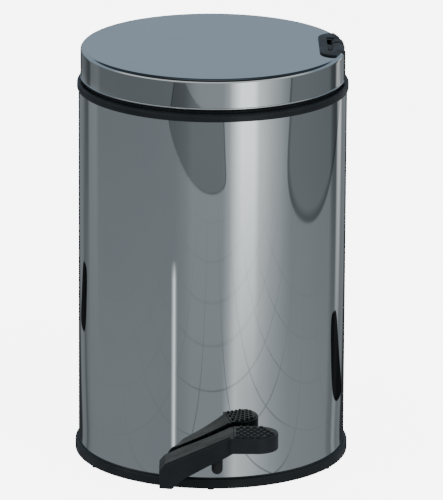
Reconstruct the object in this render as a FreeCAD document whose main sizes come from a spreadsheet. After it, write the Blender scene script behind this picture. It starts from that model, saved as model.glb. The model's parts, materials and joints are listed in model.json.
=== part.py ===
import FreeCAD, Part
import math
import os
import re
import Sketcher
from FreeCAD import Placement, Rotation, Vector

# A round pedal bin, 395 mm tall, in millimetres.
# Origin: the middle of the bin on the floor. +Z is up and -Y is the front, where the pedal is.
# The pedal lever runs along +X. The lid's hinge is near +X, turned by hinge_turn about +Z.
# Pieces of the hinge are drawn with the hinge at +X exactly, and their Placement turns them.

SIZES = {
    # Lid: a shallow steel cap
    "lid_radius": 124.2, "lid_top": 395, "lid_bottom": 366.2, "lid_sheet": 0.8, "lid_edge": 3.8,
    "liner_foot": 369.5,
    # Hinge: its pin's distance from the bin's axis, its height, and its turn about +Z
    "hinge_turn": 1, "hinge_x": 116.5, "hinge_z": 389, "hinge_pin_radius": 2.5,
    "knuckle_radius": 7.6, "barrel_radius": 7, "notch_half": 24, "housing_half": 23,
    "barrel_half": 8.6, "finger_half": 3.4, "notch_x": 107, "cover_thick": 1.6,
    # Rim ring round the mouth
    "rim_radius": 127.5, "rim_bottom": 355.2, "rim_shoulder": 362.6, "rim_neck": 121,
    "rim_top": 364.6, "rim_inner": 117.2, "rim_lip_bottom": 350,
    # Body tube
    "body_radius": 126, "body_wall": 0.8, "body_bottom": 4, "body_top": 360.2,
    # Base with its raised floor
    "base_radius": 129.3, "base_top": 11.1, "base_bottom": 1, "base_inner": 122,
    "floor_under": 44, "floor_top": 47,
    "foot_radius": 3.2, "foot_circle": 125.6, "foot_top": 2.5,
    # Pedal: its shaft runs along Y under the floor
    "pivot_x": -40, "pivot_z": 20, "shaft_radius": 4, "running_gap": 0.06,
    "lever_front": -161, "lever_back": -128, "lever_wall": 3,
    "pad_front": -166, "pad_back": -127, "pad_start": 18, "pad_end": 43,
    "pad_under": 47.5, "pad_top": 62.5,
    # Travel of the pedal, the rocker and the lid, in degrees
    "pedal_travel": 25, "rocker_travel": 19, "lid_travel": 80,
    # Lid lug: the arm from the hinge pin to the lug pin that the lift rod carries
    "lug_arm": 18, "pin_radius": 2.5,
    # Lift rod, inside the body wall at the hinge
    "rod_ring": 112.6, "rod_radius": 2.5, "rod_top": 352,
    "plate": 3,
    # Inner bucket and its bail
    "bucket_rim": 338, "bucket_bottom": 47.2, "bucket_wall": 2,
    "bail_radius": 113, "bail_wire": 2, "bail_z": 326, "ear_end": 110.7,
}

# Lengths and places worked out from the sizes above
ROD_X = "(rod_ring * cos(hinge_turn))"
ROD_Y = "(rod_ring * sin(hinge_turn))"
ROCKER_LONG = "(lug_arm * sin(lid_travel / 2) / sin(rocker_travel / 2))"
ROCKER_X = f"({ROD_X} - {ROCKER_LONG})"
PIVOT_SPAN = f"({ROCKER_X} - pivot_x)"
CRANK = f"({PIVOT_SPAN} * sin(rocker_travel / 2) / (sin(rocker_travel / 2) + sin(pedal_travel / 2)))"
ROCKER_SHORT = f"({PIVOT_SPAN} - {CRANK})"
ROCKER_END_Z = f"(pivot_z - {ROCKER_LONG} * sin(rocker_travel / 2))"
CRANK_TIP_X = f"(pivot_x + {CRANK} * cos(pedal_travel / 2))"
CRANK_TIP_Z = f"(pivot_z + {CRANK} * sin(pedal_travel / 2))"
LUG_X = "(hinge_x - lug_arm * cos(lid_travel / 2))"
LUG_Z = "(hinge_z - lug_arm * sin(lid_travel / 2))"

TURN_TO = {
    "x": Rotation(Vector(0, 1, 0), 90),
    "y": Rotation(Vector(1, 0, 0), -90),
    "z": Rotation(),
}

doc = FreeCAD.newDocument("pedal_bin")
sheet = doc.addObject("Spreadsheet::Sheet", "sizes")
for row, (alias, value) in enumerate(SIZES.items(), start=1):
    sheet.set(f"A{row}", alias)
    sheet.set(f"B{row}", str(value))
    sheet.setAlias(f"B{row}", alias)
doc.recompute()

pieces = []


# ---------------------------------------------------------------- helpers

def bind(thing, prop, rule):
    """Tie a property to the sheet; rule is a sum written with the sheet's aliases."""
    linked = re.sub(r"[a-z_]+", lambda m: f"sizes.{m[0]}" if m[0] in SIZES else m[0], str(rule))
    thing.setExpression(prop, linked)


def place(thing, x=0, y=0, z=0):
    for axis, rule in (("x", x), ("y", y), ("z", z)):
        bind(thing, f"Placement.Base.{axis}", rule)
    return thing


def cylinder(name, radius, length, x=0, y=0, z=0, along="z"):
    rod = doc.addObject("Part::Cylinder", name)
    bind(rod, "Radius", radius)
    bind(rod, "Height", length)
    rod.Placement = Placement(Vector(), TURN_TO[along])
    return place(rod, x, y, z)


def block(name, x, y, z):
    """A box from x[0] to x[1], y[0] to y[1] and z[0] to z[1]."""
    solid = doc.addObject("Part::Box", name)
    for prop, (low, high) in (("Length", x), ("Width", y), ("Height", z)):
        bind(solid, prop, f"({high}) - ({low})")
    return place(solid, x[0], y[0], z[0])


def fuse(name, *shapes):
    joined = doc.addObject("Part::MultiFuse", name)
    joined.Shapes = list(shapes)
    joined.Refine = True
    return joined


def cut(name, base, *tools):
    carved = doc.addObject("Part::Cut", name)
    carved.Base = base
    carved.Tool = tools[0] if len(tools) == 1 else fuse(f"{name}_tools", *tools)
    return carved


def common(name, first, second):
    shared = doc.addObject("Part::Common", name)
    shared.Base = first
    shared.Tool = second
    return shared


def group(name, *shapes):
    """Separate solids that share one node."""
    together = doc.addObject("Part::Compound", name)
    together.Links = list(shapes)
    return together


def piece(thing, name, at_hinge=False):
    """Name a finished sub-part and, at the hinge, turn it to its place."""
    thing.Label = name
    if at_hinge:
        thing.Placement = Placement(Vector(), Rotation(Vector(0, 0, 1), SIZES["hinge_turn"]))
        bind(thing, "Placement.Rotation.Angle", "hinge_turn")
    pieces.append(thing)
    return thing


def sketch(body, name, role, offset=0):
    flat = body.newObject("Sketcher::SketchObject", name)
    origin_plane = [part for part in body.Origin.OriginFeatures if part.Role == role][0]
    flat.AttachmentSupport = [(origin_plane, "")]
    flat.MapMode = "FlatFace"
    bind(flat, "AttachmentOffset.Base.z", offset)
    return flat


def outline(flat, corners):
    """A closed outline of straight lines; each corner is a pair of rules."""
    first = flat.GeometryCount
    count = len(corners)
    turns = [2 * math.pi * number / count for number in range(count)]
    starts = [Vector(50 * math.cos(turn), 50 * math.sin(turn), 0) for turn in turns]
    for number in range(count):
        flat.addGeometry(Part.LineSegment(starts[number], starts[(number + 1) % count]), False)
    for number in range(count):
        after = first + (number + 1) % count
        flat.addConstraint(Sketcher.Constraint("Coincident", first + number, 2, after, 1))
    for number, (across, up) in enumerate(corners):
        start = starts[number]
        for kind, value, rule in (("DistanceX", start.x, across), ("DistanceY", start.y, up)):
            where = flat.addConstraint(Sketcher.Constraint(kind, -1, 1, first + number, 1, value))
            bind(flat, f"Constraints[{where}]", rule)


def turned(name, corners):
    """A body of revolution about Z from an outline of (radius, height) corners."""
    body = doc.addObject("PartDesign::Body", name)
    profile = sketch(body, f"{name}_profile", "XZ_Plane")
    outline(profile, corners)
    spin = body.newObject("PartDesign::Revolution", f"{name}_turned")
    spin.Profile = profile
    spin.ReferenceAxis = (profile, ["V_Axis"])
    spin.Angle = 360
    profile.Visibility = False
    return body


def extruded(name, role, corners, low, high):
    """A body from an outline in XZ (stretched along Y) or XY (stretched along Z)."""
    body = doc.addObject("PartDesign::Body", name)
    add_pad(body, f"{name}_pad", role, corners, low, high)
    return body


def add_pad(body, name, role, corners, low, high, feature="PartDesign::Pad"):
    facing_back = role == "XZ_Plane"
    flat = sketch(body, f"{name}_outline", role, f"-({low})" if facing_back else low)
    outline(flat, corners)
    pad = body.newObject(feature, name)
    pad.Profile = flat
    pad.Reversed = facing_back != (feature == "PartDesign::Pocket")
    bind(pad, "Length", f"({high}) - ({low})")
    return pad


def add_pocket(body, name, role, corners, low, high):
    return add_pad(body, name, role, corners, low, high, "PartDesign::Pocket")


def soften(body, name, radius, wanted):
    """Round the body's edges that the test picks."""
    doc.recompute()
    tip = body.Tip
    names = [f"Edge{n}" for n, edge in enumerate(tip.Shape.Edges, start=1) if wanted(edge)]
    rounded = body.newObject("PartDesign::Fillet", name)
    rounded.Base = (tip, names)
    bind(rounded, "Radius", radius)
    return rounded


def ring_edge(radius, height):
    """A test for the round edge of one radius at one height."""
    def wanted(edge):
        round_edge = isinstance(edge.Curve, Part.Circle)
        return (round_edge and abs(edge.Curve.Radius - radius) < 0.01
                and abs(edge.Curve.Center.z - height) < 0.01)
    return wanted


def upright(x):
    """A test for straight upright edges at one x."""
    def wanted(edge):
        box = edge.BoundBox
        return box.XLength < 0.01 and box.YLength < 0.01 and abs(box.XMin - x) < 0.01
    return wanted


def flat_edge(height):
    """A test for any edge that lies at one height."""
    def wanted(edge):
        box = edge.BoundBox
        return box.ZLength < 0.01 and abs(box.ZMin - height) < 0.01
    return wanted


def rectangle(x, y):
    return [(x[0], y[0]), (x[1], y[0]), (x[1], y[1]), (x[0], y[1])]


# ---------------------------------------------------------------- body, rim and base

def make_body_shell():
    tube = turned("shell_tube", [
        ("body_radius - body_wall", "body_bottom"), ("body_radius", "body_bottom"),
        ("body_radius", "body_top"), ("body_radius - body_wall", "body_top")])
    piece(cut("body_shell_cut", tube, bush_hole("shell")), "body_shell")


def bush_hole(owner):
    return cylinder(f"{owner}_bush_hole", 6.5, 30, "pivot_x", -135, "pivot_z", "y")


def make_rim_ring():
    ring = turned("rim_section", [
        ("rim_inner", "rim_lip_bottom"), ("body_radius - body_wall", "rim_lip_bottom"),
        ("body_radius - body_wall", "body_top"), ("body_radius", "body_top"),
        ("body_radius", "rim_bottom"), ("rim_radius", "rim_bottom"),
        ("rim_radius", "rim_shoulder"), ("rim_neck", "rim_shoulder"),
        ("rim_neck", "rim_top"), ("rim_inner", "rim_top")])
    soften(ring, "rim_bead", 2.2, ring_edge(SIZES["rim_radius"], SIZES["rim_shoulder"]))
    soften(ring, "rim_foot", 1, ring_edge(SIZES["rim_radius"], SIZES["rim_bottom"]))
    piece(cut("rim_ring_cut", ring, hinge_screw_holes("rim")), "rim_ring")


def make_base_tray():
    tray = turned("tray_section", [
        (0, "floor_under"), ("base_inner", "floor_under"), ("base_inner", "base_bottom"),
        ("base_radius", "base_bottom"), ("base_radius", "base_top"), ("body_radius", "base_top"),
        ("body_radius", "body_bottom"), ("body_radius - body_wall", "body_bottom"),
        ("body_radius - body_wall", "floor_top"), (0, "floor_top")])
    soften(tray, "tray_edge", 2, ring_edge(SIZES["base_radius"], SIZES["base_top"]))
    rod_hole = cylinder("tray_rod_hole", "rod_radius + 0.6", 10, ROD_X, ROD_Y, "floor_under - 3")
    screws = [cylinder(f"tray_screw_hole_{n}", 1.5, 2.6, x, y, "floor_under - 0.1")
              for n, (x, y) in enumerate(saddle_screw_places() + bracket_screw_places())]
    feet = [cylinder(f"foot_recess_{n}", "foot_radius", "foot_top - base_bottom + 1", x, y,
                     "base_bottom - 1") for n, (x, y) in enumerate(foot_places())]
    piece(cut("base_tray_cut", tray, bush_hole("tray"), rod_hole, *screws, *feet), "base_tray")


FEET = 6
SADDLES = (-88, -23)
SADDLE_LENGTH = 9


def foot_places():
    return [(f"foot_circle * cos({60 * n + 30})", f"foot_circle * sin({60 * n + 30})")
            for n in range(FEET)]


def saddle_screw_places():
    return [(f"pivot_x + {side * 13}", y + SADDLE_LENGTH / 2) for y in SADDLES for side in (-1, 1)]


def bracket_screw_places():
    return [(f"{ROCKER_X} + {side * 15}", ROD_Y) for side in (-1, 1)]


def make_feet():
    feet = [cylinder(f"foot_{n}", "foot_radius", "foot_top", x, y, 0)
            for n, (x, y) in enumerate(foot_places())]
    piece(group("feet", *feet), "non_slip_feet")


def make_front_bush():
    sleeve = cylinder("bush_sleeve", 6.5, 15, "pivot_x", -122, "pivot_z", "y")
    flange = cylinder("bush_flange", 8.4, 2.5, "pivot_x", -124.5, "pivot_z", "y")
    bore = cylinder("bush_bore", "shaft_radius + running_gap", 30, "pivot_x", -130, "pivot_z", "y")
    piece(cut("front_bush_cut", fuse("bush_turned", sleeve, flange), bore), "front_bush")


def make_saddles():
    """Two saddles under the floor carry the pedal shaft."""
    saddles = []
    for n, y in enumerate(SADDLES):
        ends = (y, y + SADDLE_LENGTH)
        hub = block(f"saddle_hub_{n}", ("pivot_x - 8", "pivot_x + 8"), ends,
                    ("pivot_z", "floor_under"))
        foot = block(f"saddle_foot_{n}", ("pivot_x - 18", "pivot_x + 18"), ends,
                     ("floor_under - 3", "floor_under"))
        nose = cylinder(f"saddle_nose_{n}", 8, SADDLE_LENGTH, "pivot_x", y, "pivot_z", "y")
        bore = cylinder(f"saddle_bore_{n}", "shaft_radius + running_gap", SADDLE_LENGTH + 2,
                        "pivot_x", y - 1, "pivot_z", "y")
        holes = [cylinder(f"saddle_hole_{n}_{side}", 1.5, 5, f"pivot_x + {side * 13}",
                          y + SADDLE_LENGTH / 2, "floor_under - 4") for side in (-1, 1)]
        solid = fuse(f"saddle_solid_{n}", hub, foot, nose)
        saddles.append(cut(f"saddle_{n}", solid, bore, *holes))
    piece(group("saddles", *saddles), "shaft_saddles")


def screw_up(name, x, y, head_z):
    """A pan-head screw that points up; its head's top face is at head_z."""
    head = cylinder(f"{name}_head", 3, 2, x, y, f"{head_z} - 2")
    shank = cylinder(f"{name}_shank", 1.5, f"floor_under + 2.4 - ({head_z})", x, y, head_z)
    return fuse(name, head, shank)


def make_base_screws():
    saddle = [screw_up(f"saddle_screw_{n}", x, y, "floor_under - 3")
              for n, (x, y) in enumerate(saddle_screw_places())]
    piece(group("saddle_screw_set", *saddle), "saddle_screws")
    bracket = [screw_up(f"bracket_screw_{n}", x, y, "floor_under - 2")
               for n, (x, y) in enumerate(bracket_screw_places())]
    piece(group("bracket_screw_set", *bracket), "bracket_screws")


def make_rocker_bracket():
    """A folded steel bracket under the floor holds the rocker's pin."""
    sides = (f"{ROD_Y} - 7", f"{ROD_Y} + 7")
    cheeks = block("bracket_cheeks", (f"{ROCKER_X} - 8", f"{ROCKER_X} + 8"), sides,
                   ("pivot_z - 8", "floor_under"))
    flange = block("bracket_flange", (f"{ROCKER_X} - 20", f"{ROCKER_X} + 20"), sides,
                   ("floor_under - 2", "floor_under"))
    gap = block("bracket_gap", (f"{ROCKER_X} - 9", f"{ROCKER_X} + 9"),
                (f"{ROD_Y} - 5", f"{ROD_Y} + 5"), ("pivot_z - 9", "floor_under - 2"))
    pin_hole = cylinder("bracket_pin_hole", "shaft_radius", 20, ROCKER_X, f"{ROD_Y} - 10",
                        "pivot_z", "y")
    holes = [cylinder(f"bracket_hole_{n}", 1.5, 5, x, y, "floor_under - 4")
             for n, (x, y) in enumerate(bracket_screw_places())]
    folded = fuse("bracket_folded", cheeks, flange)
    piece(cut("rocker_bracket_cut", folded, gap, pin_hole, *holes), "rocker_bracket")
    shank = cylinder("rocker_pin_shank", "shaft_radius", 16, ROCKER_X, f"{ROD_Y} - 8", "pivot_z", "y")
    head = cylinder("rocker_pin_head", 6, 1.5, ROCKER_X, f"{ROD_Y} - 8.5", "pivot_z", "y")
    piece(fuse("rocker_pin_turned", shank, head), "rocker_pin")


def make_rod_guides():
    """Two guides on the inside of the body wall keep the lift rod upright."""
    for name, low in (("lower_rod_guide", 110), ("upper_rod_guide", 300)):
        inside = cylinder(f"{name}_wall", "body_radius - body_wall", 12, 0, 0, low)
        slab = block(f"{name}_slab", ("rod_ring - 4.5", "body_radius"), (-7, 7), (low, low + 12))
        bore = cylinder(f"{name}_bore", "rod_radius + running_gap", 20, "rod_ring", 0, low - 4)
        fitted = common(f"{name}_fitted", slab, inside)
        piece(cut(f"{name}_cut", fitted, bore), name, at_hinge=True)


# ---------------------------------------------------------------- hinge, on the body's side

HINGE_SCREW_SIDE = 16
HINGE_SCREW_Z = 358


def hinge_screw_holes(owner):
    """Two holes towards the hinge; the turn is done here for pieces that aren't turned."""
    holes = [cylinder(f"{owner}_hinge_hole_{side}", 1.5, 14, 108, side * HINGE_SCREW_SIDE,
                      HINGE_SCREW_Z, "x") for side in (-1, 1)]
    pair = fuse(f"{owner}_hinge_holes", *holes)
    pair.Placement = Placement(Vector(), Rotation(Vector(0, 0, 1), SIZES["hinge_turn"]))
    bind(pair, "Placement.Rotation.Angle", "hinge_turn")
    return pair


def make_hinge_housing():
    """It stands on the rim ring, fills the lid's notch and carries the pin in two knuckles."""
    across = ("-housing_half", "housing_half")
    outer = cylinder("housing_outer", "lid_radius", 60, 0, 0, 345)
    slab = block("housing_slab", (112, 130), across, ("rim_lip_bottom + 2", "hinge_z"))
    knuckle = cylinder("housing_knuckle", "knuckle_radius", "2 * housing_half", "hinge_x",
                       "-housing_half", "hinge_z", "y")
    solid = common("housing_fitted", fuse("housing_solid", slab, knuckle), outer)
    rim_top_part = cylinder("housing_rim_top", "rim_neck", "rim_top - 340", 0, 0, 340)
    rim_low_part = cylinder("housing_rim_low", "rim_radius + 5", "rim_shoulder - 340", 0, 0, 340)
    core = cylinder("housing_core", "rim_inner", 60, 0, 0, 340)
    rim_space = cut("housing_rim_space", fuse("housing_rim", rim_top_part, rim_low_part), core)
    slot = block("housing_slot", (90, 121), ("-barrel_half - 0.6", "barrel_half + 0.6"), (340, 410))
    opening = block("housing_opening", (90, 130), ("-barrel_half - 0.6", "barrel_half + 0.6"),
                    ("hinge_z - 10", 410))
    pin = cylinder("housing_pin_hole", "hinge_pin_radius", "2 * housing_half - 2", "hinge_x",
                   "1 - housing_half", "hinge_z", "y")
    screws = [cylinder(f"housing_screw_hole_{side}", 1.5, 14, 108, side * HINGE_SCREW_SIDE,
                       HINGE_SCREW_Z, "x") for side in (-1, 1)]
    housing = cut("hinge_housing_cut", solid, rim_space, slot, opening, pin, *screws)
    piece(housing, "hinge_housing", at_hinge=True)


def make_hinge_pin():
    pin = cylinder("hinge_pin_rod", "hinge_pin_radius", "2 * housing_half - 2", "hinge_x",
                   "1 - housing_half", "hinge_z", "y")
    piece(group("hinge_pin_whole", pin), "hinge_pin", at_hinge=True)
    screws = []
    for side in (-1, 1):
        head = cylinder(f"hinge_screw_head_{side}", 3, 1.8, 110.2, side * HINGE_SCREW_SIDE,
                        HINGE_SCREW_Z, "x")
        shank = cylinder(f"hinge_screw_shank_{side}", 1.5, 9, 112, side * HINGE_SCREW_SIDE,
                         HINGE_SCREW_Z, "x")
        screws.append(fuse(f"hinge_screw_{side}", head, shank))
    piece(group("hinge_screw_set", *screws), "hinge_screws", at_hinge=True)


def make_lid_buffers():
    """Rubber buffers on the rim's neck; the lid closes onto them."""
    circle = "((rim_inner + rim_neck) / 2)"
    buffers = [cylinder(f"buffer_{turn}", 1.6, "liner_foot - 0.3 - rim_top", f"{circle} * cos({turn})",
                        f"{circle} * sin({turn})", "rim_top") for turn in (60, 140, 220, 300)]
    piece(group("buffer_set", *buffers), "lid_buffers", at_hinge=True)


# ---------------------------------------------------------------- lid

LID_SCREW_X = 103.5
LID_SCREW_SIDE = 14


def lid_screw_holes(owner):
    """Blind holes, up to just under the cover's top."""
    return [cylinder(f"{owner}_lid_hole_{side}", 1.5, "lid_top + cover_thick - 0.6 - 389",
                     LID_SCREW_X, side * LID_SCREW_SIDE, 389) for side in (-1, 1)]


def notch(body, name):
    add_pocket(body, name, "XY_Plane", rectangle(("notch_x", 140), ("-notch_half", "notch_half")),
               "lid_bottom - 5", "lid_top + 5")


def make_lid_shell():
    cap = turned("lid_cap", [
        (0, "lid_top - lid_sheet"), (0, "lid_top"), ("lid_radius", "lid_top"),
        ("lid_radius", "lid_bottom"), ("lid_radius - lid_sheet", "lid_bottom"),
        ("lid_radius - lid_sheet", "lid_top - lid_sheet")])
    soften(cap, "lid_outer_edge", "lid_edge", ring_edge(SIZES["lid_radius"], SIZES["lid_top"]))
    inner = ring_edge(SIZES["lid_radius"] - SIZES["lid_sheet"], SIZES["lid_top"] - SIZES["lid_sheet"])
    soften(cap, "lid_inner_edge", "lid_edge - lid_sheet", inner)
    notch(cap, "lid_notch")
    piece(cut("lid_shell_cut", cap, *lid_screw_holes("shell")), "lid_shell", at_hinge=True)


def make_lid_liner():
    """A plastic ring inside the skirt; its foot closes onto the buffers."""
    liner = turned("liner_section", [
        (117.5, "liner_foot"), ("lid_radius - lid_sheet", "liner_foot"),
        ("lid_radius - lid_sheet", 390.5), (120.2, "lid_top - lid_sheet"),
        (114, "lid_top - lid_sheet"), (114, 392.2), (119.4, 392.2), (121.4, 389.8),
        (121.4, "liner_foot + 2"), (117.5, "liner_foot + 2")])
    notch(liner, "liner_notch")
    piece(liner, "lid_liner", at_hinge=True)


def make_hinge_cover():
    """A thin D-shaped cover on the lid. It ends at the lid's edge and goes round the notch."""
    inboard = 99
    half_width = 42
    plate = extruded("cover_plate", "XY_Plane", rectangle((inboard, 130), (-half_width, half_width)),
                     "lid_top", "lid_top + cover_thick")
    soften(plate, "cover_corners", 16, upright(inboard))
    soften(plate, "cover_top", 0.7, flat_edge(SIZES["lid_top"] + SIZES["cover_thick"]))
    outline = cylinder("cover_outline", "lid_radius - 2.4", 10, 0, 0, 390)
    notch_space = block("cover_notch", ("notch_x - 0.1", 140), ("-notch_half", "notch_half"), (390, 400))
    cover = cut("hinge_cover_cut", common("cover_trimmed", plate, outline), notch_space,
                *lid_screw_holes("cover"))
    piece(cover, "hinge_cover", at_hinge=True)


def make_lid_hinge_arm():
    """Under the lid: a plate, two ears for the lug pin, and the barrel round the hinge pin."""
    across = ("-barrel_half", "barrel_half")
    plate = block("arm_plate", (84, "notch_x - 0.1"), (-20, 20), (391.4, "lid_top - lid_sheet"))
    ears = extruded("arm_ears", "XZ_Plane", [
        (93, 394.2), (93, 390), (97.5, 373.5), (100, 371.4), (105, 371.4), (119, 383),
        (120, 391), (108, 394.2)], across[0], across[1])
    barrel = cylinder("arm_barrel", "barrel_radius", "2 * barrel_half", "hinge_x", "-barrel_half",
                      "hinge_z", "y")
    room = block("arm_finger_room", (80, 125), ("-finger_half - 0.6", "finger_half + 0.6"),
                 (360, 391.4))
    bore = cylinder("arm_bore", "hinge_pin_radius + running_gap", 30, "hinge_x", -15, "hinge_z", "y")
    lug = cylinder("arm_lug_hole", "pin_radius", 30, LUG_X, -15, LUG_Z, "y")
    solid = fuse("arm_solid", plate, cut("arm_split_ears", ears, room), barrel)
    arm = cut("lid_hinge_arm_cut", solid, bore, lug, *lid_screw_holes("arm"))
    piece(arm, "lid_hinge_arm", at_hinge=True)


def make_lid_pins():
    lug = cylinder("lug_rod", "pin_radius", "2 * barrel_half", LUG_X, "-barrel_half", LUG_Z, "y")
    piece(group("lug_pin_whole", lug), "lug_pin", at_hinge=True)
    screws = []
    for side in (-1, 1):
        y = side * LID_SCREW_SIDE
        head = cylinder(f"lid_screw_head_{side}", 3, 1.8, LID_SCREW_X, y, 389.6)
        shank = cylinder(f"lid_screw_shank_{side}", 1.5, "lid_top + cover_thick - 0.6 - 391.4",
                         LID_SCREW_X, y, 391.4)
        screws.append(fuse(f"lid_screw_{side}", head, shank))
    piece(group("lid_screw_set", *screws), "lid_screws", at_hinge=True)


# ---------------------------------------------------------------- pedal

LEVER_SIDE = [
    (-48, 12), (-48, 29), (-42.5, 35.5), ("pad_start", "pad_top"), (26, "pad_top"),
    (26, "pad_under"), (23, "pad_under"), (12, 41), (-2, 34), (-27, 20), (-36, 11)]
LEVER_HOLLOW = [(-22, 5), (-22, 40), (14, 56), (14, 5)]
PEG_X = 5.8
PEG_Y = -152
PEG_RADIUS = 5.2
PEG_TIP = 23.5
PEG_STEM_TOP = 55.5
PEG_STEM_RADIUS = 2.5
PAD_MIDDLE = "((pad_front + pad_back) / 2)"
PAD_ROUND = "((pad_back - pad_front) / 2)"
PAD_WALL = 4
TREAD_INSET = 3
TREAD_SINK = 1
TREAD_PROUD = 0.8
STUD_RADIUS = 1.7
STUD_PITCH = 6.2
ROW_PITCH = STUD_PITCH * 0.87
BIN_CLEARANCE = "(base_radius + 2.2)"


def pad_shape(name, inset, low, high):
    """The pad's plan, straight on the left and half round on the right, between two heights."""
    left = block(f"{name}_left", (f"pad_start + {inset}", "pad_end"),
                 (f"pad_front + {inset}", f"pad_back - {inset}"), (low, high))
    nose = cylinder(f"{name}_nose", f"{PAD_ROUND} - {inset}", f"({high}) - ({low})", "pad_end",
                    PAD_MIDDLE, low)
    return fuse(name, left, nose)


def make_pedal_lever():
    arm = extruded("lever_arm", "XZ_Plane", LEVER_SIDE, "lever_front", "lever_back")
    add_pocket(arm, "lever_hollow", "XZ_Plane", LEVER_HOLLOW, "lever_front + lever_wall",
               "lever_back - lever_wall")
    soften(arm, "lever_sides", 2, outer_top_edge)
    pad = pad_shape("pad_outer", 0, "pad_under", "pad_top")
    solid = fuse("lever_solid", arm, pad)
    pad_hollow = pad_shape("pad_hollow", PAD_WALL, "pad_under - 1", f"pad_top - {PAD_WALL}")
    recess = pad_shape("tread_recess", TREAD_INSET, f"pad_top - {TREAD_SINK}", "pad_top + 1")
    clearance = cylinder("lever_clearance", BIN_CLEARANCE, "pad_top + 10")
    bore = cylinder("lever_bore", "shaft_radius", 28, "pivot_x", -156, "pivot_z", "y")
    peg_hole = cylinder("lever_peg_hole", PEG_STEM_RADIUS, PEG_STEM_TOP - 46, PEG_X, PEG_Y, 46)
    lever = cut("pedal_lever_cut", solid, pad_hollow, recess, clearance, bore, peg_hole)
    piece(lever, "pedal_lever")


def outer_top_edge(edge):
    """The lever's long top edges, on its front and back sides."""
    box = edge.BoundBox
    on_side = any(abs(box.YMin - SIZES[side]) < 0.01 for side in ("lever_front", "lever_back"))
    return on_side and box.YLength < 0.01 and box.XLength > 50 and box.ZMax > 50


def make_pedal_tread():
    """A studded tread in the pad's recess; the studs stand in staggered rows."""
    plate = pad_shape("tread_plate", TREAD_INSET, f"pad_top - {TREAD_SINK}",
                      f"pad_top + {TREAD_PROUD}")
    middle = (SIZES["pad_front"] + SIZES["pad_back"]) / 2
    reach = (SIZES["pad_back"] - SIZES["pad_front"]) / 2 - 5
    studs = []
    for row in range(6):
        y = middle + (row - 2.6) * ROW_PITCH
        for column in range(6):
            x = SIZES["pad_start"] + 7 + (column + row % 2 / 2) * STUD_PITCH
            if math.hypot(max(0, x - SIZES["pad_end"]), y - middle) < reach:
                studs.append(cylinder(f"stud_{row}_{column}", STUD_RADIUS, 1.8, x, y, "pad_top + 0.2"))
    tread = fuse("tread_whole", plate, *studs)
    tread.Refine = False
    clearance = cylinder("tread_clearance", BIN_CLEARANCE, "pad_top + 10")
    piece(cut("pedal_tread_cut", tread, clearance), "pedal_tread")


def make_pedal_stop():
    """The rubber peg under the lever; its tip meets the floor if the pedal goes down too far."""
    middle = PEG_TIP + PEG_RADIUS
    leg = cylinder("stop_leg", PEG_RADIUS, 60 - middle, PEG_X, PEG_Y, middle)
    tip = doc.addObject("Part::Sphere", "stop_tip")
    tip.Radius = PEG_RADIUS
    place(tip, PEG_X, PEG_Y, middle)
    _, low, high, _ = LEVER_HOLLOW
    roof = extruded("stop_roof", "XZ_Plane", [low, high, (high[0], 80), (low[0], 80)], -162, -140)
    peg = cut("stop_peg", fuse("stop_leg_and_tip", leg, tip), roof)
    stem = cylinder("stop_stem", PEG_STEM_RADIUS, PEG_STEM_TOP - 49, PEG_X, PEG_Y, 49)
    piece(fuse("pedal_stop_whole", peg, stem), "pedal_stop")


def make_pedal_shaft():
    shaft = cylinder("shaft_rod", "shaft_radius", 176, "pivot_x", -156, "pivot_z", "y")
    piece(shaft, "pedal_shaft")
    ring = cylinder("clip_ring", 7, 2, "pivot_x", f"{ROD_Y} - 1.6", "pivot_z", "y")
    hole = cylinder("clip_hole", "shaft_radius", 6, "pivot_x", f"{ROD_Y} - 3", "pivot_z", "y")
    piece(cut("shaft_clip_cut", ring, hole), "shaft_clip")


def make_crank_arm():
    """A crank on the shaft; at rest it points up towards the rocker by half the travel."""
    low, high = f"({ROD_Y} - 6.1)", f"({ROD_Y} - 2.1)"
    bar = block("crank_bar", (0, CRANK), (low, high), (-5, 5))
    hub = cylinder("crank_hub", 9, 7, 0, f"{ROD_Y} - 9.1", 0, "y")
    boss = cylinder("crank_boss", 6, 4, CRANK, low, 0, "y")
    bore = cylinder("crank_bore", "shaft_radius", 20, 0, f"{ROD_Y} - 15", 0, "y")
    hole = cylinder("crank_hole", 3, 20, CRANK, f"{ROD_Y} - 15", 0, "y")
    arm = cut("crank_arm_cut", fuse("crank_solid", bar, hub, boss), bore, hole)
    arm.Placement = Placement(Vector(), Rotation(Vector(0, 1, 0), -SIZES["pedal_travel"] / 2))
    piece(place(arm, "pivot_x", 0, "pivot_z"), "crank_arm")
    shank = cylinder("crank_pin_shank", 3, 10.5, CRANK_TIP_X, f"{ROD_Y} - 8.1", CRANK_TIP_Z, "y")
    head = cylinder("crank_pin_head", 5, 2, CRANK_TIP_X, f"{ROD_Y} - 8.1", CRANK_TIP_Z, "y")
    piece(fuse("crank_pin_turned", shank, head), "crank_pin")


# ---------------------------------------------------------------- rocker and lift rod

def slotted(name, half_length, half_height, length, x, y, z):
    """A tool for a level slot through a plate, along Y."""
    middle = block(f"{name}_middle", (f"({x}) - {half_length}", f"({x}) + {half_length}"),
                   (y, f"({y}) + {length}"), (f"({z}) - {half_height}", f"({z}) + {half_height}"))
    ends = [cylinder(f"{name}_end_{n}", half_height, length, f"({x}) + {side}", y, z, "y")
            for n, side in enumerate((-half_length, half_length))]
    return fuse(name, middle, *ends)


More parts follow.
